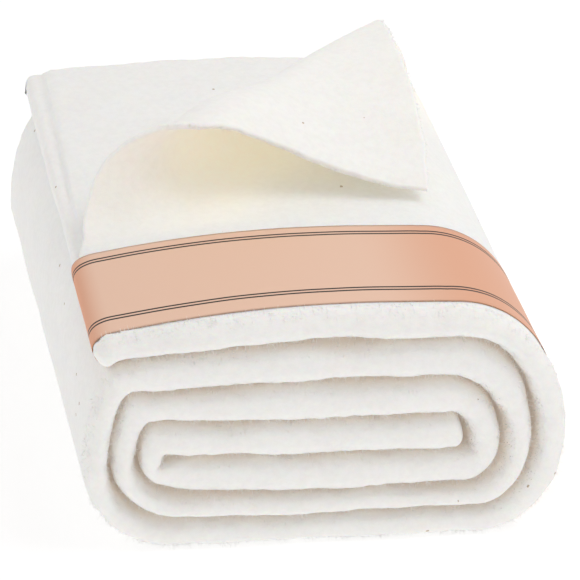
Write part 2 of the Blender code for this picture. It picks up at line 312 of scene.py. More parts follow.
class Finish:
    """A material with a Principled shader, to which nodes are added one by one."""

    def __init__(self, name, **constants):
        self.material = bpy.data.materials.new(name)
        self.material.use_nodes = True
        self.tree = self.material.node_tree
        self.shader = self.tree.nodes["Principled BSDF"]
        for socket, value in constants.items():
            self.shader.inputs[socket.replace("_", " ")].default_value = value

    def node(self, kind, settings=None, inputs=None, output=0):
        """A node of this kind, its settings first, then the values or links of its sockets."""
        node = self.tree.nodes.new(kind)
        for name, value in (settings or {}).items():
            setattr(node, name, value)
        for name, value in (inputs or {}).items():
            if isinstance(value, Wire):
                self.tree.links.new(value.socket, node.inputs[name])
            else:
                node.inputs[name].default_value = value
        return Wire(self.tree, node.outputs[output])

    def mix(self, share, first, second):
        """A colour between two, by a share from 0 to 1."""
        inputs = {0: share, 6: first, 7: second}
        return self.node("ShaderNodeMix", {"data_type": "RGBA"}, inputs, 2)

    def noise(self, place, scale, detail=2.0, roughness=0.5):
        inputs = {"Vector": place, "Scale": scale, "Detail": detail, "Roughness": roughness}
        return self.node("ShaderNodeTexNoise", {}, inputs)

    def ramp(self, value, low, high):
        """0 where the value is under low and 1 where it is over high, eased between."""
        inputs = {"Value": value, "From Min": low, "From Max": high}
        return self.node("ShaderNodeMapRange", {"interpolation_type": "SMOOTHSTEP"}, inputs)

    def bump(self, height, distance, strength=1.0):
        inputs = {"Height": height, "Distance": distance, "Strength": strength}
        self.link(self.node("ShaderNodeBump", {}, inputs), "Normal")

    def link(self, wire, socket):
        self.tree.links.new(wire.socket, self.shader.inputs[socket])


# %% [markdown]
# ## Cotton
#
# Natural cotton is a warm off-white with a dull, soft surface. Four things make it read as
# cotton: a very gentle change of tone, a nap of short fibres that breaks the light, a fleck of
# brown seed husk here and there, and light that sinks in a little before it comes out again. The
# nap is bump from two scales of noise. The flecks are the few cells of a cell pattern whose own
# random number is high, drawn only near the cell's centre. Deep in the grooves and in the curl,
# a tan tone is painted in as painted shade, and a very weak glow as painted light, in place of
# the warm light that passes through thin fibres there. Each piece has a number for that at
# every point, which mixes in the painted shade and the painted glow.

# %% Cotton finish
COTTON_LIGHT = (0.915, 0.910, 0.890, 1.0)
COTTON_DEEP = (0.835, 0.828, 0.805, 1.0)
PAINTED_SHADE_TAN = (0.780, 0.690, 0.590, 1.0)
GROOVE_PAINTED_GLOW = (0.085, 0.077, 0.069, 1.0)
HOLLOW_PAINTED_GLOW = (0.138, 0.117, 0.066, 1.0)
GLOW_REACH = (1.0, 0.62, 0.34)
GLOW_DEPTH = 0.004
HUSK = (0.42, 0.29, 0.17, 1.0)
FLECK_CELLS = 70.0
FLECK_SIZE = 0.055


def cotton_finish(name, painted_shade_share, painted_glow):
    """Off-white needled cotton: soft tones, husk flecks, a fine nap, and a painted tan shade and painted glow
    by a number at each point.
    """
    glow = {"Subsurface_Weight": 0.4, "Subsurface_Radius": GLOW_REACH, "Subsurface_Scale": GLOW_DEPTH}
    cotton = Finish(name, Roughness=1.0, Sheen_Weight=0.15, Sheen_Roughness=0.6, **glow)
    place = cotton.node("ShaderNodeTexCoord", output=3)
    wide = cotton.ramp(cotton.noise(place, 38.0, 3.0, 0.6), 0.35, 0.70)
    fine = cotton.ramp(cotton.noise(place, 300.0, 4.0, 0.65), 0.36, 0.68)
    cells = cotton.tree.nodes.new("ShaderNodeTexVoronoi")
    cells.inputs["Scale"].default_value = FLECK_CELLS
    wander = cotton.noise(place, 900.0, 1.0)
    cotton.tree.links.new(place.socket, cells.inputs["Vector"])
    chosen = cotton.node("ShaderNodeSeparateColor", {}, {0: Wire(cotton.tree, cells.outputs["Color"])})
    near = Wire(cotton.tree, cells.outputs["Distance"]) + (wander - 0.5) * 0.06
    fleck = near.below(FLECK_SIZE) * (0.66 - chosen).below(0.0)
    base = cotton.mix(wide * 0.22 + fine * 0.34, COTTON_LIGHT, COTTON_DEEP)
    # Painted shade and painted light: a tan tone in the base colour and a weak emission, as much as the
    # per-point number says.
    painted_shade_glow = cotton.node("ShaderNodeAttribute", {"attribute_name": "PaintedShadeGlow"}, output=2)
    base = cotton.mix(painted_shade_glow * painted_shade_share, base, PAINTED_SHADE_TAN)
    cotton.link(cotton.mix(fleck * 0.75, base, HUSK), "Base Color")
    cotton.shader.inputs["Emission Strength"].default_value = 1.0
    cotton.link(cotton.mix(painted_shade_glow, (0.0, 0.0, 0.0, 1.0), painted_glow), "Emission Color")
    nap = cotton.noise(place, 420.0, 3.0, 0.65) * 0.6 + cotton.noise(place, 1700.0, 2.0, 0.7) * 0.4
    cotton.bump(nap, 0.0006, 0.55)
    return cotton.material


# Painted shade: the roll's grooves get a strong tan tone. Painted light: the loose ply's curl gets mostly the
# weak glow.
cotton = cotton_finish("Cotton", 0.7, GROOVE_PAINTED_GLOW)
thin_cotton = cotton_finish("Thin cotton", 0.12, HOLLOW_PAINTED_GLOW)
print("finishes:", cotton.name, "and", thin_cotton.name)

# %% [markdown]
# ## Paper band
#
# The band is thin peach paper, printed with a pair of fine dark lines near each edge. Its two
# ends get a deeper peach as painted shade, where the band turns away from the light. The print and
# the painted shade follow the paper, so the pattern reads the band's own UV map, in which one unit
# is one metre along and across the paper.

# %% Paper finish
BAND_WIDTH = 0.068
PEACH = (0.815, 0.542, 0.405, 1.0)
PEACH_DEEP = (0.720, 0.275, 0.125, 1.0)
INK = (0.014, 0.009, 0.008, 1.0)
LINE_FRONT, LINE_BACK = 0.0114, 0.0070
LINE_APART = 0.0022
LINE_THICK = 0.00105


def paper_finish(name, left_end, right_end):
    """Peach paper with two pairs of border lines, and painted shade deepening it where it turns away at the
    left and the right.
    """
    paper = Finish(name, Roughness=0.52)
    print_map = paper.node("ShaderNodeUVMap", {"uv_map": "Paper"})
    split = paper.tree.nodes.new("ShaderNodeSeparateXYZ")
    paper.tree.links.new(print_map.socket, split.inputs[0])
    along, across = Wire(paper.tree, split.outputs["X"]), Wire(paper.tree, split.outputs["Y"])
    edge = (across - LINE_FRONT).size().least((BAND_WIDTH - LINE_BACK - across).size())
    pair = (edge - LINE_APART / 2.0).size()
    line = 1.0 - paper.ramp(pair, LINE_THICK * 0.40, LINE_THICK * 0.60)
    # Painted shade: the peach deepens towards both ends, where the band turns away from the light.
    left = 1.0 - paper.ramp(along, left_end, left_end + 0.017)
    right = paper.ramp(along, right_end - 0.050, right_end)
    grain = paper.noise(print_map, 500.0, 3.0, 0.6)
    ground = paper.mix((left + right * 0.55).least(1.0), PEACH, PEACH_DEEP)
    paper.link(paper.mix(line, ground, INK), "Base Color")
    paper.bump(grain, 0.00012, 0.25)
    return paper.material


# %% [markdown]
# ## The wound strip
#
# The strip's cross-section is a long thin loop: its rounded front, its outer face, the six plies'
# edges at the back and its inner face. The front is round because the strip was folded in half
# there, and a superellipse gives it a flatter middle than a circle. Carried along the spiral, this
# loop makes the whole roll. Most of it is hidden inside, so those faces get only a few rows of
# points, and the outermost wind gets many.

# %% Rows of the cross-section
FRONT_ROUND = 0.0105
BACK_ROUND = 0.003
PLIES = 6
PLY_STEPS = np.array([0.0, 0.05, 0.18, 0.38, 0.62, 0.82, 0.95])


def front_rows(count, power):
    """Depth and place across of the rounded front: cosine and sine, each to the power of 2 / power."""
    fine = np.linspace(-np.pi / 2.0, np.pi / 2.0, 2001)
    depth = FRONT_ROUND * (1.0 - np.abs(np.cos(fine)) ** (2.0 / power))
    across = np.sign(np.sin(fine)) * np.abs(np.sin(fine)) ** (2.0 / power)
    length = np.concatenate([[0.0], np.cumsum(np.hypot(np.diff(depth), np.diff(across) * FRONT_ROUND))])
    even = np.linspace(0.0, length[-1], count)
    return np.interp(even, length, depth), np.interp(even, length, across)


def back_rows():
    """Depth and place across of the six ply edges: a small half circle each, from the outer face inwards."""
    step = np.concatenate([k + PLY_STEPS for k in range(PLIES)] + [[float(PLIES)]])
    part = step - np.floor(step)
    bulge = np.sqrt(np.clip(1.0 - (2.0 * part - 1.0) ** 2, 0.0, 1.0))
    return LENGTH - 0.0017 * (1.0 - bulge), 1.0 - 2.0 * step / PLIES, np.floor(step)


HIDDEN_DEPTHS = np.array([0.0125, 0.0160, 0.0240, 0.0400, 0.0780, 0.2250, 0.2400, 0.2480])
SHOWN_DEPTHS = np.arange(0.0125, 0.2500, 0.0028)
front_depth, front_across = front_rows(31, 2.2)
back_depth, back_across, back_ply = back_rows()
row_depth = np.concatenate([front_depth, SHOWN_DEPTHS, back_depth, HIDDEN_DEPTHS[::-1]])
row_across = np.concatenate(
    [front_across, 0.0 * SHOWN_DEPTHS + 1.0, back_across, 0.0 * HIDDEN_DEPTHS - 1.0]
)
row_ply = np.concatenate([0.0 * front_depth, 0.0 * SHOWN_DEPTHS, back_ply + 1.0, 0.0 * HIDDEN_DEPTHS])
print("rows round the strip:", len(row_depth))

# %% [markdown]
# The stations along the spiral are evenly spaced by length. Beyond the two ends of the strip
# follow a few more stations, on which the loop shrinks to nothing as a sine and cosine: the
# rounded noses.

# %% Stations along the strip
INNER_END, OUTER_END = 0.5, 13.58
INNER_NOSE, OUTER_NOSE, BACK_NOSE = 0.0055, 0.0045, 0.0082
NOSE_DROP, NOSE_DRAWN_IN = 0.0070, 0.55
NOSE_TOP_POWER, NOSE_BACK_POWER, NOSE_FOOT_POWER = 2.4, 3.8, 6.0
FRONT_BULGE, BULGE_UNTIL = 0.0014, 0.0085
NOTCH_FILL, NOTCH_TURN, NOTCH_WIDTH = 0.0020, 13.62, 0.03
FLANK_SUNK, FLANK_TURN, FLANK_WIDTH = 0.0055, 13.62, 0.17
SHOWN_FROM = 9.3
STATION_STEP = 0.00183
NOSE_ANGLES = np.radians([12.0, 24.0, 36.0, 48.0, 59.0, 69.0, 77.0, 83.0, 87.5, 89.3, 89.97])

fine_turn = np.linspace(INNER_END, OUTER_END, 9001)
middle_line = (spiral_face(fine_turn, 0.0) + spiral_face(fine_turn + WIND, 0.0)) / 2.0
middle_length = np.concatenate([[0.0], np.cumsum(np.linalg.norm(np.diff(middle_line, axis=0), axis=1))])
stations = int(middle_length[-1] / STATION_STEP)
even_turn = np.interp(np.linspace(0.0, middle_length[-1], stations), middle_length, fine_turn)
inner_nose, outer_nose = NOSE_ANGLES[::-1], NOSE_ANGLES
station_turn = np.concatenate([0.0 * inner_nose + INNER_END, even_turn, 0.0 * outer_nose + OUTER_END])
station_nose = np.concatenate([-inner_nose, 0.0 * even_turn, outer_nose])
station_length = np.interp(station_turn, fine_turn, middle_length)
print("strip is %.3f m long, in %d stations" % (middle_length[-1], len(station_turn)))

# %% [markdown]
# Where the loose ply lies on the roll, the roll's own skin is lower by that ply. At the left, the
# next ply down ends too, with a small step. The outer end's foot is drawn in and down onto the
# layer below, because the plies are pressed flat there, and the flank under it sinks in a little.

# %% Skin of the roll
PLY_THICK = 0.0030
REBATE = 0.0034
REBATE_END = 15.75
REBATE_FROM = 0.040
STEP_X = -0.0950
STEP_DROP = 0.0008
BAND_FRONT, BAND_BACK = 0.0090, 0.0770
BAND_RECESS = 0.0011
LAYER_GAP = 0.0008


def nose_shares(angle, across, depth):
    """How far ahead and across a nose's point is: a superellipse's sine and cosine, squarer inside."""
    top_power = NOSE_TOP_POWER + (NOSE_BACK_POWER - NOSE_TOP_POWER) * swell(depth)
    foot_power = 2.2 + (NOSE_FOOT_POWER - 2.2) * ease(depth / 0.03)
    power = top_power + (foot_power - top_power) * (1.0 - across) / 2.0
    return np.abs(np.sin(angle)) ** (2.0 / power), np.abs(np.cos(angle)) ** (2.0 / power)


def sunk_face(turn, depth):
    """The spiral's face, pressed in at the back left under the outer end by a bell curve of the turn."""
    sunk = FLANK_SUNK * np.exp(-(((turn - FLANK_TURN) / FLANK_WIDTH) ** 2)) * swell(depth)
    return spiral_face(turn, depth) - spiral_outward(turn, depth) * sunk[..., None]


def strip_points(turn, nose, depth, across, ply, length):
    """Points of the strip: the face inside, plus the way to the face outside times the place across."""
    bend = np.cos(nose)
    front = np.clip(FRONT_ROUND - depth, 0.0, None)
    back = np.clip(depth - (LENGTH - BACK_ROUND), 0.0, None)
    depth = depth + (front - back) * (1.0 - bend)
    inner, outer = sunk_face(turn, depth), sunk_face(turn + WIND, depth)
    on_skin = turn + WIND > OUTER_END
    laid = ease((turn + WIND - REBATE_END) / 0.08) * (depth > REBATE_FROM)
    pressed = ease((RECESS_NONE - turn) / (RECESS_NONE - RECESS_FULL)) * (turn > 11.0)
    pressed = pressed * (depth > BAND_FRONT + 0.0008) * (depth < BAND_BACK - 0.0008)
    lowered = np.maximum(REBATE * laid, BAND_RECESS * pressed)
    outer = outer - spiral_outward(turn + WIND, depth) * lowered[..., None]
    way = outer - inner
    thick = np.linalg.norm(way, axis=-1, keepdims=True)
    eye = 0.0011 * np.exp(-(((turn - 2.02) / 0.10) ** 2))
    spot = np.stack([length + 0.0 * depth, 0.0 * length + 0.0 * depth, 0.0 * length * depth], -1)
    mouth = np.exp(-((depth / 0.012) ** 2)) * np.clip(lumps(spot, 0.024, 6) + 0.25, 0.0, None)
    gap = LAYER_GAP * (1.0 + 0.9 * lumps(spot, 0.028, 5)) + eye + 0.0036 * mouth
    tight = ease((turn - 13.35) / 0.20) * ease((depth - 0.010) / 0.020)
    inner = inner + way / thick * ((gap * (1.0 - tight) - 0.0016 * tight)[..., None] / 2.0)
    bulge = FRONT_BULGE * np.sin(np.pi * np.minimum(depth / BULGE_UNTIL, 1.0)) * ease((turn - 11.3) / 0.4)
    out = spiral_outward(turn + WIND, depth) * bulge[..., None]
    outer = np.where(on_skin[..., None], outer + out, outer - way / thick * (gap[..., None] / 2.0))
    notch = np.exp(-(((turn + WIND - NOTCH_TURN) / NOTCH_WIDTH) ** 2)) * ease((turn + WIND - 13.585) / 0.03)
    outer = outer + np.stack([0.0 * notch, NOTCH_FILL * notch * on_skin], -1)
    middle, half = (inner + outer) / 2.0, (outer - inner) / 2.0
    chord = half / np.linalg.norm(half, axis=-1, keepdims=True)
    ahead = np.stack([-chord[..., 1], chord[..., 0]], -1)
    reach = np.where(nose > 0.0, OUTER_NOSE + (BACK_NOSE - OUTER_NOSE) * swell(depth), INNER_NOSE)
    forward, width = nose_shares(nose, across, depth)
    foot = (nose > 0.0) * np.clip(-across, 0.0, None) * ease(depth / 0.03)
    drop = NOSE_DROP * (1.0 + 0.6 * swell(depth)) * foot * forward * width
    reach = reach * (1.0 - NOSE_DRAWN_IN * foot)
    along_ahead = (reach * np.sign(nose) * forward)[..., None]
    plane = middle + ahead * along_ahead + half * (across * width)[..., None]
    plane[..., 1] -= drop
    return np.stack([plane[..., 0], FRONT + depth, plane[..., 1]], -1)


RECESS_NONE, RECESS_FULL = 11.75, 11.60
turn_grid, depth_grid = np.meshgrid(station_turn, row_depth, indexing="ij")
nose_grid = station_nose[:, None] + 0.0 * depth_grid
across_grid = row_across[None, :] + 0.0 * depth_grid
ply_grid = row_ply[None, :] + 0.0 * depth_grid
length_grid = station_length[:, None] + 0.0 * depth_grid
strip = strip_points(turn_grid, nose_grid, depth_grid, across_grid, ply_grid, length_grid)
print("strip grid:", strip.shape)

# %% [markdown]
# Then the skin gets its unevenness: long soft lumps everywhere, short ones on the rounded front
# and back, and a calmer stretch under the band.

# %% Uneven skin
normal = grid_normals(strip, closed=True)
flow = np.stack([length_grid, depth_grid, 0.3 * across_grid * 0.009], -1)
front_share = ease((0.016 - depth_grid) / 0.010)
back_share = ease((depth_grid - 0.244) / 0.006)
rim = np.maximum(front_share, back_share)
skin = (turn_grid > SHOWN_FROM) & (across_grid > 0.99)
under_band = ease((depth_grid - 0.004) / 0.006) * ease((0.082 - depth_grid) / 0.006) * skin
calm = 1.0 - 0.85 * under_band
lift = 0.00045 * lumps(strip, 0.032, 11) * skin * calm
lift = lift + (0.00045 * lumps(flow, 0.010, 21) + 0.00040 * lumps(flow, 0.0036, 22)) * rim * calm
lift = lift + (0.00016 * lumps(strip, 0.012, 13) + 0.00007 * lumps(strip, 0.005, 14)) * skin * calm
strip = strip + normal * lift[..., None]
wave_spot = np.stack([length_grid, 0.0 * length_grid, 0.0 * length_grid], -1)
strip[..., 1] += 0.0011 * lumps(wave_spot, 0.045, 31) * front_share
ply_spot = np.stack([length_grid, ply_grid * 0.5, 0.0 * length_grid], -1)
strip[..., 1] -= 0.0012 * (1.0 + lumps(ply_spot, 0.040, 41)) * back_share * (ply_grid > 0.0)
strip[..., 1] -= 0.0006 * lumps(ply_spot, 0.009, 42) * back_share * (ply_grid > 0.0)

on_step = (turn_grid > 12.5) & (across_grid > -0.2)
step_line = STEP_X + 0.0006 * lumps(strip, 0.008, 51)
past_step = ease((step_line - strip[..., 0]) / 0.0012) * ease((depth_grid - 0.060) / 0.022) * on_step
strip[..., 2] -= STEP_DROP * past_step
strip[..., 2] = np.maximum(strip[..., 2], 0.0002)
print("skin reaches from", strip.min((0, 1)).round(4), "to", strip.max((0, 1)).round(4))

# %% [markdown]
# Inside the roll only the rows near the front and the back are kept. Where the shown wind
# begins, deep in the groove at the left, one long face on each side joins the few rows to the
# many. The same kind of face closes the strip's two tips.

# %% Faces of the roll
rows = len(row_depth)
index = np.arange(strip.shape[0] * rows).reshape(-1, rows)
shown_rows = np.arange(rows)
first_shown, last_shown = len(front_depth), len(front_depth) + len(SHOWN_DEPTHS)
kept_shown = first_shown + np.unique(np.abs(SHOWN_DEPTHS[:, None] - HIDDEN_DEPTHS).argmin(0))
few_rows = np.concatenate([shown_rows[:first_shown], kept_shown, shown_rows[last_shown:]])
cut = int(np.argmax(station_turn > SHOWN_FROM))
few = index[:cut][:, few_rows]
many = index[cut:]
faces = [*grid_quads(few, closed=True), *grid_quads(many, closed=True)]
few_next = index[cut][few_rows]
for a in range(len(few_rows)):
    b = (a + 1) % len(few_rows)
    last = few_rows[b] < few_rows[a]
    between = np.array([few_rows[a], 0]) if last else np.arange(few_rows[a], few_rows[b] + 1)
    faces.append(np.concatenate([[few[-1][a]], [few[-1][b]], index[cut][between[::-1]]]))
faces.append(few[0][::-1])
faces.append(many[-1])
# Painted shade and painted glow: full deep in the grooves between the winds, and a little along the crease at
# the outer end.
hidden = ((across_grid <= 0.0) | (turn_grid + WIND < OUTER_END)) * np.where(nose_grid > 0.0, 0.3, 1.0)
groove = ease((depth_grid - 0.0012) / 0.0078) * ease((LENGTH - 0.001 - depth_grid) / 0.007) * hidden
crease = np.exp(-(((turn_grid + WIND - OUTER_END) / 0.04) ** 2)) * (turn_grid < 12.0) * (depth_grid > 0.004)
roll, roll_used = new_piece("wound_batting", strip.reshape(-1, 3), faces, cotton)
add_painted_shade_glow(roll, np.maximum(groove, 0.25 * crease).ravel()[roll_used])
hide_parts("batting_roll")

# %% [markdown]
# ## The roll's outside, as a line
#
# The loose ply and the band both follow the outside of the roll: round the nose at the upper
# left, over the top and down the right side. One function gives that line and its outward
# directions, lifted by any amount.

# %% Outside surface
def outside(place, depth, lift):
    """Points and outward directions: round the nose at places below 0, which are angles, then the spiral."""
    place, depth = np.broadcast_arrays(place, depth)
    angle, turn = np.maximum(-place, 0.0)[..., None], OUTER_END - np.maximum(place, 0.0)
    inner, outer = spiral_face(OUTER_END, depth), spiral_face(OUTER_END + WIND, depth)
    chord = (outer - inner) / np.linalg.norm(outer - inner, axis=-1, keepdims=True)
    inner = inner + chord * 0.0006
    middle, half = (inner + outer) / 2.0, np.linalg.norm(outer - inner, axis=-1, keepdims=True) / 2.0
    ahead = np.stack([-chord[..., 1], chord[..., 0]], -1)
    side = np.sign(np.cos(angle))
    forward, width = nose_shares(angle, side, depth[..., None])
    reach = OUTER_NOSE + (BACK_NOSE - OUTER_NOSE) * swell(depth)[..., None]
    nose = middle + ahead * (reach + lift) * forward + chord * (half + lift) * side * width
    nose_out = ahead * np.sin(angle) + chord * np.cos(angle)
    outward = spiral_outward(turn + WIND, depth)
    recess = ease((RECESS_NONE - turn) / (RECESS_NONE - RECESS_FULL))[..., None] * (lift > 0.0)
    over = spiral_face(turn + WIND, depth) + outward * (lift - 0.0010 * recess)
    on_nose = place[..., None] < 0.0
    return np.where(on_nose, nose, over), np.where(on_nose, nose_out, outward)


def outside_places(last_turn, lift, nose_from):
    """Places from this angle on the nose to this turn, and how far along the outside each lies in front."""
    nose = -np.radians(np.linspace(nose_from, 0.5, 90)) if nose_from else np.zeros(0)
    place = np.concatenate([nose, np.linspace(0.0, OUTER_END - last_turn, 1500)])
    line, _ = outside(place, 0.0, lift)
    return place, np.concatenate([[0.0], np.cumsum(np.linalg.norm(np.diff(line, axis=0), axis=1))])


# %% [markdown]
# ## The loose ply and its curl
#
# The ply lies on the roll, held at the front by the band. Its back left corner is folded over a
# crease that runs from the left edge to the back right. A folded sheet bends in only one
# direction: a point at distance s past the crease goes round a cylinder of radius R, so it sits
# at R times the sine of the angle s / R and at a height of R times one minus its cosine. Past the
# end of the bend it goes straight on. How far round the sheet goes, the sweep, and where the bend
# starts, the lead, change along the crease.

# %% Curl
CREASE_AT, CREASE_ANGLE = 0.0908, np.radians(45.82)
CURL_STATIONS = np.array([0.0, 0.03, 0.07, 0.12, 0.17, 0.24])
CURL_RADIUS = np.array([0.0443, 0.0229, 0.0214, 0.0154, 0.0151, 0.0148])
CURL_LEAD = np.array([0.0135, 0.0332, 0.0260, 0.0243, 0.0240, 0.0272])
CURL_SWEEP = np.radians([251.0, 224.0, 213.0, 196.0, 174.0, 141.0])
PLY_LEFT = -0.0940
PLY_FRONT = 0.0405
CROWN_X, CROWN_FALL = 0.031, 0.62
HOLLOW_REACH = 0.027


def along_crease(t, values):
    """A smooth value at each place along the crease: straight between the stations, then averaged nearby."""
    total = 0.0
    for shift, weight in ((-0.012, 0.2), (-0.006, 0.2), (0.0, 0.2), (0.006, 0.2), (0.012, 0.2)):
        total = total + weight * np.interp(t + shift, CURL_STATIONS, values)
    return total


def folded_over(x, depth, base, away):
    """The ply's middle surface at plan (x, depth) once its corner is folded over the crease."""
    line = np.array([np.cos(CREASE_ANGLE), np.sin(CREASE_ANGLE)])
    square = np.array([-line[1], line[0]])
    t = (x - PLY_LEFT) * line[0] + (depth - CREASE_AT) * line[1]
    s = (x - PLY_LEFT) * square[0] + (depth - CREASE_AT) * square[1]
    radius, lead, sweep = [along_crease(t, values) for values in (CURL_RADIUS, CURL_LEAD, CURL_SWEEP)]
    over = np.maximum(s + lead, 0.0)
    angle = np.minimum(over / radius, sweep)
    rest = over - angle * radius
    across = -lead + radius * np.sin(angle) + rest * np.cos(angle)
    height = radius * (1.0 - np.cos(angle)) + rest * np.sin(angle)
    shift = (across - s)[..., None] * square
    flat_shift = np.stack([shift[..., 0], shift[..., 1], 0.0 * s], -1)
    foot = base + away * height[..., None] + flat_shift
    plan_x = PLY_LEFT + t * line[0] + across * square[0]
    plan = np.stack([plan_x, CREASE_AT + t * line[1] + across * square[1]], -1)
    crown = top_height(HEART[0], plan[..., 1]) - PLY_THICK / 2.0 - CROWN_FALL * (plan[..., 0] - CROWN_X) ** 2
    curl = np.stack([plan[..., 0], FRONT + plan[..., 1], crown + height], -1)
    blend = ease(over / radius - 0.5)[..., None]
    # Painted glow and painted shade: how deep in under the fold a point lies, inside the curl's hollow.
    inside = np.exp(-((np.minimum(s + lead, 0.0) / HOLLOW_REACH) ** 2)) * (0.2 + 0.8 * ease(t / 0.08))
    return np.where((over > 0.0)[..., None], foot + (curl - foot) * blend, base), inside


# %% [markdown]
# The middle surface is worked out on a grid of distance round the roll by depth. Two copies of it,
# half a thickness to either side, make the ply. Near the rim the half thickness shrinks as a
# quarter circle, so that the cut edge is rounded and closed.

# %% Loose ply
HELD_UNTIL = 0.080
LIFT_OVER = 0.010
RIM = 0.0016


def rim_spaced(length, step):
    """Distances from 0 to the length: close together at both rims, even between."""
    rim = RIM * np.array([0.0, 0.06, 0.2, 0.42, 0.7])
    inner = np.linspace(RIM, length - RIM, int((length - 2 * RIM) / step))
    return np.concatenate([rim, inner, length - rim[::-1]])


def ply_middle():
    """The ply's middle surface, its distances from the rim, and its flat size."""
    place, length = outside_places(11.75, -PLY_THICK / 2.0, 0.0)
    columns = rim_spaced(length[-1], 0.0017)
    depths = PLY_FRONT + rim_spaced(LENGTH - PLY_FRONT, 0.0017)
    shape = (len(columns), len(depths))
    depth = np.broadcast_to(depths, shape)
    held, away = outside(np.interp(columns, length, place)[:, None], depth, -PLY_THICK / 2.0)
    x = held[:, 0, 0].copy()
    top = int(np.argmax(x >= HEART[0] + CORNER_UP_LEFT[4] - REACH_LEFT[4]))
    side = int(np.argmax(x > 0.0825))
    x[:top] = PLY_LEFT + (x[top] - PLY_LEFT) * columns[:top] / columns[top]
    x[side:] = x[side] + columns[side:] - columns[side]
    x = np.broadcast_to(x[:, None], shape)
    on_left, on_side = x < HEART[0], np.arange(len(columns))[:, None] >= side
    level = np.where(on_left, top_height(x, depth) - PLY_THICK / 2.0, held[..., 1])
    flat_x = np.where(on_side, held[..., 0], x)
    away = np.where(on_left[..., None], np.array([0.0, 1.0]), away)
    away = np.stack([away[..., 0], 0.0 * x, away[..., 1]], -1)
    spot = np.stack([columns[:, None] + 0.0 * depth, depth, 0.0 * depth], -1)
    left_edge, back_edge = ease(1.0 - columns / 0.02)[:, None], ease(1.0 - (LENGTH - depths) / 0.02)[None, :]
    wander = 0.0007 * lumps(spot, 0.013, 61) + 0.0003 * lumps(spot, 0.005, 62)
    x, depth_used = x + wander * left_edge, depth + wander * back_edge
    base = np.stack([np.where(on_side, flat_x, x), FRONT + depth_used, level], -1)
    kept = np.stack([held[..., 0], FRONT + depth_used, held[..., 1]], -1)
    loose, inside = folded_over(x, depth_used, base, away)
    free = ease((depth - HELD_UNTIL) / LIFT_OVER)[..., None]
    from_sides = np.minimum(columns, length[-1] - columns)[:, None]
    from_ends = np.minimum(depths - PLY_FRONT, LENGTH - depths)[None, :]
    from_rim = np.minimum(from_sides, from_ends)
    inside = inside * free[..., 0]
    return kept + (loose - kept) * free, from_rim, (float(length[-1]), LENGTH - PLY_FRONT), spot, inside


def closed_sheet(middle, half):
    """Points and faces of two offset copies of a surface that share their rim points."""
    outward = grid_normals(middle, closed=False)
    upper, lower = middle + outward * half[..., None], middle - outward * half[..., None]
    count = middle.shape[0] * middle.shape[1]
    top = np.arange(count).reshape(middle.shape[:2])
    under = top + count
    under[0], under[-1], under[:, 0], under[:, -1] = top[0], top[-1], top[:, 0], top[:, -1]
    faces = [*grid_quads(top, closed=False), *grid_quads(under, closed=False)[:, ::-1]]
    return np.concatenate([upper.reshape(-1, 3), lower.reshape(-1, 3)]), faces


middle, from_rim, ply_flat, ply_spot, inside = ply_middle()
rounded = np.sqrt(np.clip(1.0 - (1.0 - np.minimum(from_rim / RIM, 1.0)) ** 2, 0.0, 1.0))
uneven = ease((ply_spot[..., 1] - BAND_BACK) / 0.006)
loft = 1.0 + (0.10 * lumps(ply_spot, 0.030, 71) + 0.07 * lumps(ply_spot, 0.011, 72)) * uneven
half = PLY_THICK / 2.0 * rounded * loft
sheet_points, sheet_faces = closed_sheet(middle, half)
ply, ply_used = new_piece("loose_top_ply", sheet_points, sheet_faces, thin_cotton)
# Painted glow and painted shade inside the curl, on one face of the ply only and not at its rim.
away_from_rim = ease((from_rim - 0.0004) / 0.002)
add_painted_shade_glow(ply, np.concatenate([(inside * away_from_rim).ravel(), 0.0 * inside.ravel()])[ply_used])
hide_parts("loose_ply")
print("loose ply, flat: %.3f by %.3f m" % ply_flat)

# %% [markdown]
# ## The band
#
# The band follows the same outside line, a little proud of the cotton, from under the nose at the
# left to its end under the roll. It is the sheet of paper carried along that line.

# %% Band
BAND_LIFT, NOSE_LIFT = 0.0003, 0.0005
BAND_BOW, BOW_PLACE = 0.0018, 0.72
BAND_SLANT, SLANT_FROM = 0.030, 1.10
BAND_THICK = 0.0003


def band_middle():
    """The band's middle surface: its tucked end and the outside line, carried across the band's width."""
    place, length = outside_places(11.2, BAND_LIFT, 176.0)
    columns = np.interp(np.linspace(0.0, length[-1], int(length[-1] / 0.0012)), length, place)
    across = np.linspace(0.0, BAND_WIDTH, 35)
    slant = BAND_SLANT * np.clip(columns - SLANT_FROM, 0.0, 0.35)
    askew = BAND_BOW * np.exp(-(((columns - BOW_PLACE) / 0.35) ** 2)) + slant
    over_depth = BAND_FRONT + across + askew[:, None]
    lift = BAND_LIFT + NOSE_LIFT * ease(1.0 - columns / 0.12)[:, None]
    over, _ = outside(columns[:, None], over_depth, lift[..., None])
    tuck = spiral_face(np.linspace(13.28, OUTER_END, 16, endpoint=False)[:, None], BAND_FRONT + across)
    line = np.concatenate([tuck, over])
    nearby = [np.roll(line, shift, axis=0) for shift in range(-3, 4)]
    line[12:-4] = np.mean(nearby, axis=0)[12:-4]
    walked = np.cumsum(np.linalg.norm(np.diff(line[:, 0], axis=0, prepend=line[:1, 0]), axis=1))
    depth = np.concatenate([BAND_FRONT + across + np.zeros((len(tuck), 1)), over_depth])
    surface = np.stack([line[..., 0], FRONT + depth, line[..., 1]], -1)
    paper = np.stack(np.broadcast_arrays(walked[:, None], across), -1)
    place_walked = walked[len(tuck):]
    ends = [float(np.interp(place, columns, place_walked)) for place in (-np.pi / 2.0, OUTER_END - 12.4)]
    return surface, paper, ends


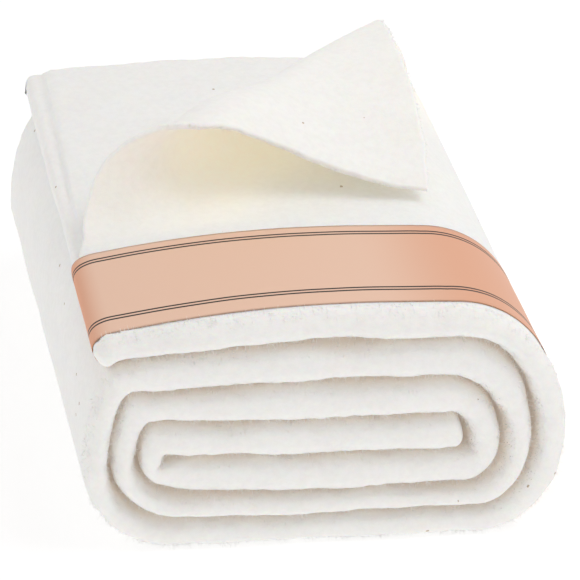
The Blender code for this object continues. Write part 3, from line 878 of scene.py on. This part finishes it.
band_surface, band_paper, band_ends = band_middle()
normal = grid_normals(band_surface, closed=False)
ripple = 0.00010 * lumps(band_surface, 0.018, 81)
band_surface = band_surface + normal * ripple[..., None]
band_half = np.full(band_surface.shape[:2], BAND_THICK / 2.0)
band_half[0], band_half[-1], band_half[:, 0], band_half[:, -1] = 0.0, 0.0, 0.0, 0.0
paper_material = paper_finish("Band paper", *band_ends)
band_points, band_faces = closed_sheet(band_surface, band_half)
band, band_used = new_piece("plain_paper_band", band_points, band_faces, paper_material)
paper_map = band.data.uv_layers.new(name="Paper")
corner_points = np.zeros(len(band.data.loops), int)
band.data.loops.foreach_get("vertex_index", corner_points)
both_sides = np.concatenate([band_paper.reshape(-1, 2)] * 2)
paper_map.data.foreach_set("uv", both_sides[band_used][corner_points].ravel())
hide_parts("paper_band")
print("band: %.3f m of paper" % band_paper[-1, 0, 0])

# %% [markdown]
# ## Lint
#
# The folded edges of the strip and the rim of the loose ply are fuzzy. The fuzz is ten thousand
# short fibres, each a thin three-sided rod of three rings that grows thinner. A fibre starts just
# under the surface, leans away from it in a direction of its own and bends a little. Roots are
# drawn at random on the lips of the folded front, and on the ply's left and back edges.

# %% Lint
LINT_RADIUS, LINT_LONGEST = 0.00009, 0.0028
LIP_FIBRES, EDGE_FIBRES = 9000, 1100
LIP_FROM, LIP_TO = 0.55, 0.985
LOWEST = 0.0002
LINT_WHITE = (0.945, 0.935, 0.915, 1.0)
rng = np.random.default_rng(7)


def fibres(roots, outward, longest):
    """Points and faces of one fibre for each root: a bent rod, outward plus a direction of its own."""
    count = len(roots)
    stray = rng.normal(size=(count, 3))
    way = outward * rng.uniform(0.1, 0.9, (count, 1)) + 0.45 * stray
    way = way / np.linalg.norm(way, axis=1, keepdims=True)
    length = longest * (0.35 + 0.65 * rng.random((count, 1)) ** 2)
    side = np.cross(way, rng.normal(size=(count, 3)))
    side = side / np.linalg.norm(side, axis=1, keepdims=True)
    third = np.cross(way, side)
    rings = []
    for along, bent, thick in ((-0.2, 0.0, 1.0), (0.45, 0.12, 0.9), (1.0, 0.45, 0.35)):
        middle = roots + way * length * along + side * length * bent
        for angle in np.radians([0.0, 120.0, 240.0]):
            around = side * np.cos(angle) + third * np.sin(angle)
            rings.append(middle + around * LINT_RADIUS * thick)
    points = np.stack(rings, 1)
    start = 9 * np.arange(count)[:, None]
    quads = [(0, 1, 4, 3), (1, 2, 5, 4), (2, 0, 3, 5), (3, 4, 7, 6), (4, 5, 8, 7), (5, 3, 6, 8)]
    sides = np.concatenate([start + np.array([quad]) for quad in quads])
    ends = np.concatenate([start + np.array([[2, 1, 0]]), start + np.array([[6, 7, 8]])])
    return points.reshape(-1, 3), [*sides, *ends]


lips = np.flatnonzero((np.abs(front_across) > LIP_FROM) & (np.abs(front_across) < LIP_TO))
station = rng.integers(12, strip.shape[0] - 12, LIP_FIBRES)
row = lips[rng.integers(0, len(lips), LIP_FIBRES)]
strip_out = strip[station, row] - (strip[station, 0] + strip[station, len(front_depth) - 1]) / 2.0
strip_out = strip_out / np.linalg.norm(strip_out, axis=1, keepdims=True)
edge_station = rng.integers(8, middle.shape[0] - 60, EDGE_FIBRES)
edge_row = rng.integers(60, middle.shape[1] - 8, EDGE_FIBRES)
on_back = rng.random(EDGE_FIBRES) < 0.5
edge_station = np.where(on_back, edge_station, 2)
edge_row = np.where(on_back, middle.shape[1] - 3, edge_row)
inner_station = np.where(on_back, edge_station, 8)
inner_row = np.where(on_back, middle.shape[1] - 9, edge_row)
edge_out = middle[edge_station, edge_row] - middle[inner_station, inner_row]
edge_out = edge_out / np.linalg.norm(edge_out, axis=1, keepdims=True)
roots = np.concatenate([strip[station, row], middle[edge_station, edge_row]])
lint_out = np.concatenate([strip_out, edge_out])
lint_points, lint_faces = fibres(roots, lint_out, LINT_LONGEST)
lint_points[:, 2] = np.maximum(lint_points[:, 2], LOWEST)
lint_finish = Finish("Lint", Base_Color=LINT_WHITE, Roughness=1.0)
lint, _ = new_piece("surface_lint", lint_points, lint_faces, lint_finish.material)

# %% [markdown]
# ## Floor and light
#
# The roll was photographed on white in very soft light from all round, a little stronger from
# the upper right. A pale world gives the light from all round and one large square lamp the rest.
# The pale floor glows a little, as a lit paper sweep does, so no hard edge shows behind the roll.

# %% Floor
FLOOR_GREY = (0.72, 0.72, 0.72, 1.0)
FLOOR_GLOW = {"Emission_Color": (1.0, 1.0, 1.0, 1.0), "Emission_Strength": 0.42}
floor_mesh = bpy.data.meshes.new("Floor")
floor_mesh.from_pydata([(-4, -4, 0), (4, -4, 0), (4, 4, 0), (-4, 4, 0)], [], [(0, 1, 2, 3)])
floor_finish = Finish("Pale floor", Base_Color=FLOOR_GREY, Roughness=0.9, **FLOOR_GLOW)
floor_mesh.materials.append(floor_finish.material)
floor = bpy.data.objects.new("Floor", floor_mesh)
bpy.context.scene.collection.objects.link(floor)

# %% Light
LIGHT_COLOUR = (1.0, 0.99, 0.985)
WORLD_STRENGTH = 0.755
world = bpy.data.worlds.new("Studio")
bpy.context.scene.world = world
world.use_nodes = True
world.node_tree.nodes["Background"].inputs["Color"].default_value = (*LIGHT_COLOUR, 1.0)
world.node_tree.nodes["Background"].inputs["Strength"].default_value = WORLD_STRENGTH


def area_light(name, place, target, size, power):
    """A square area light of this size at a place, turned to face the target."""
    data = bpy.data.lights.new(name, "AREA")
    data.size, data.energy, data.color = size, power, LIGHT_COLOUR
    light = bpy.data.objects.new(name, data)
    light.location = place
    way = Matrix.Translation(target).translation - light.location
    light.rotation_euler = way.to_track_quat("-Z", "Y").to_euler()
    bpy.context.scene.collection.objects.link(light)


area_light("Key", (0.38, -0.12, 0.92), (0.0, 0.0, 0.08), 0.5, 2.1)
bpy.context.scene.view_settings.view_transform = "Standard"
print("lights are on")
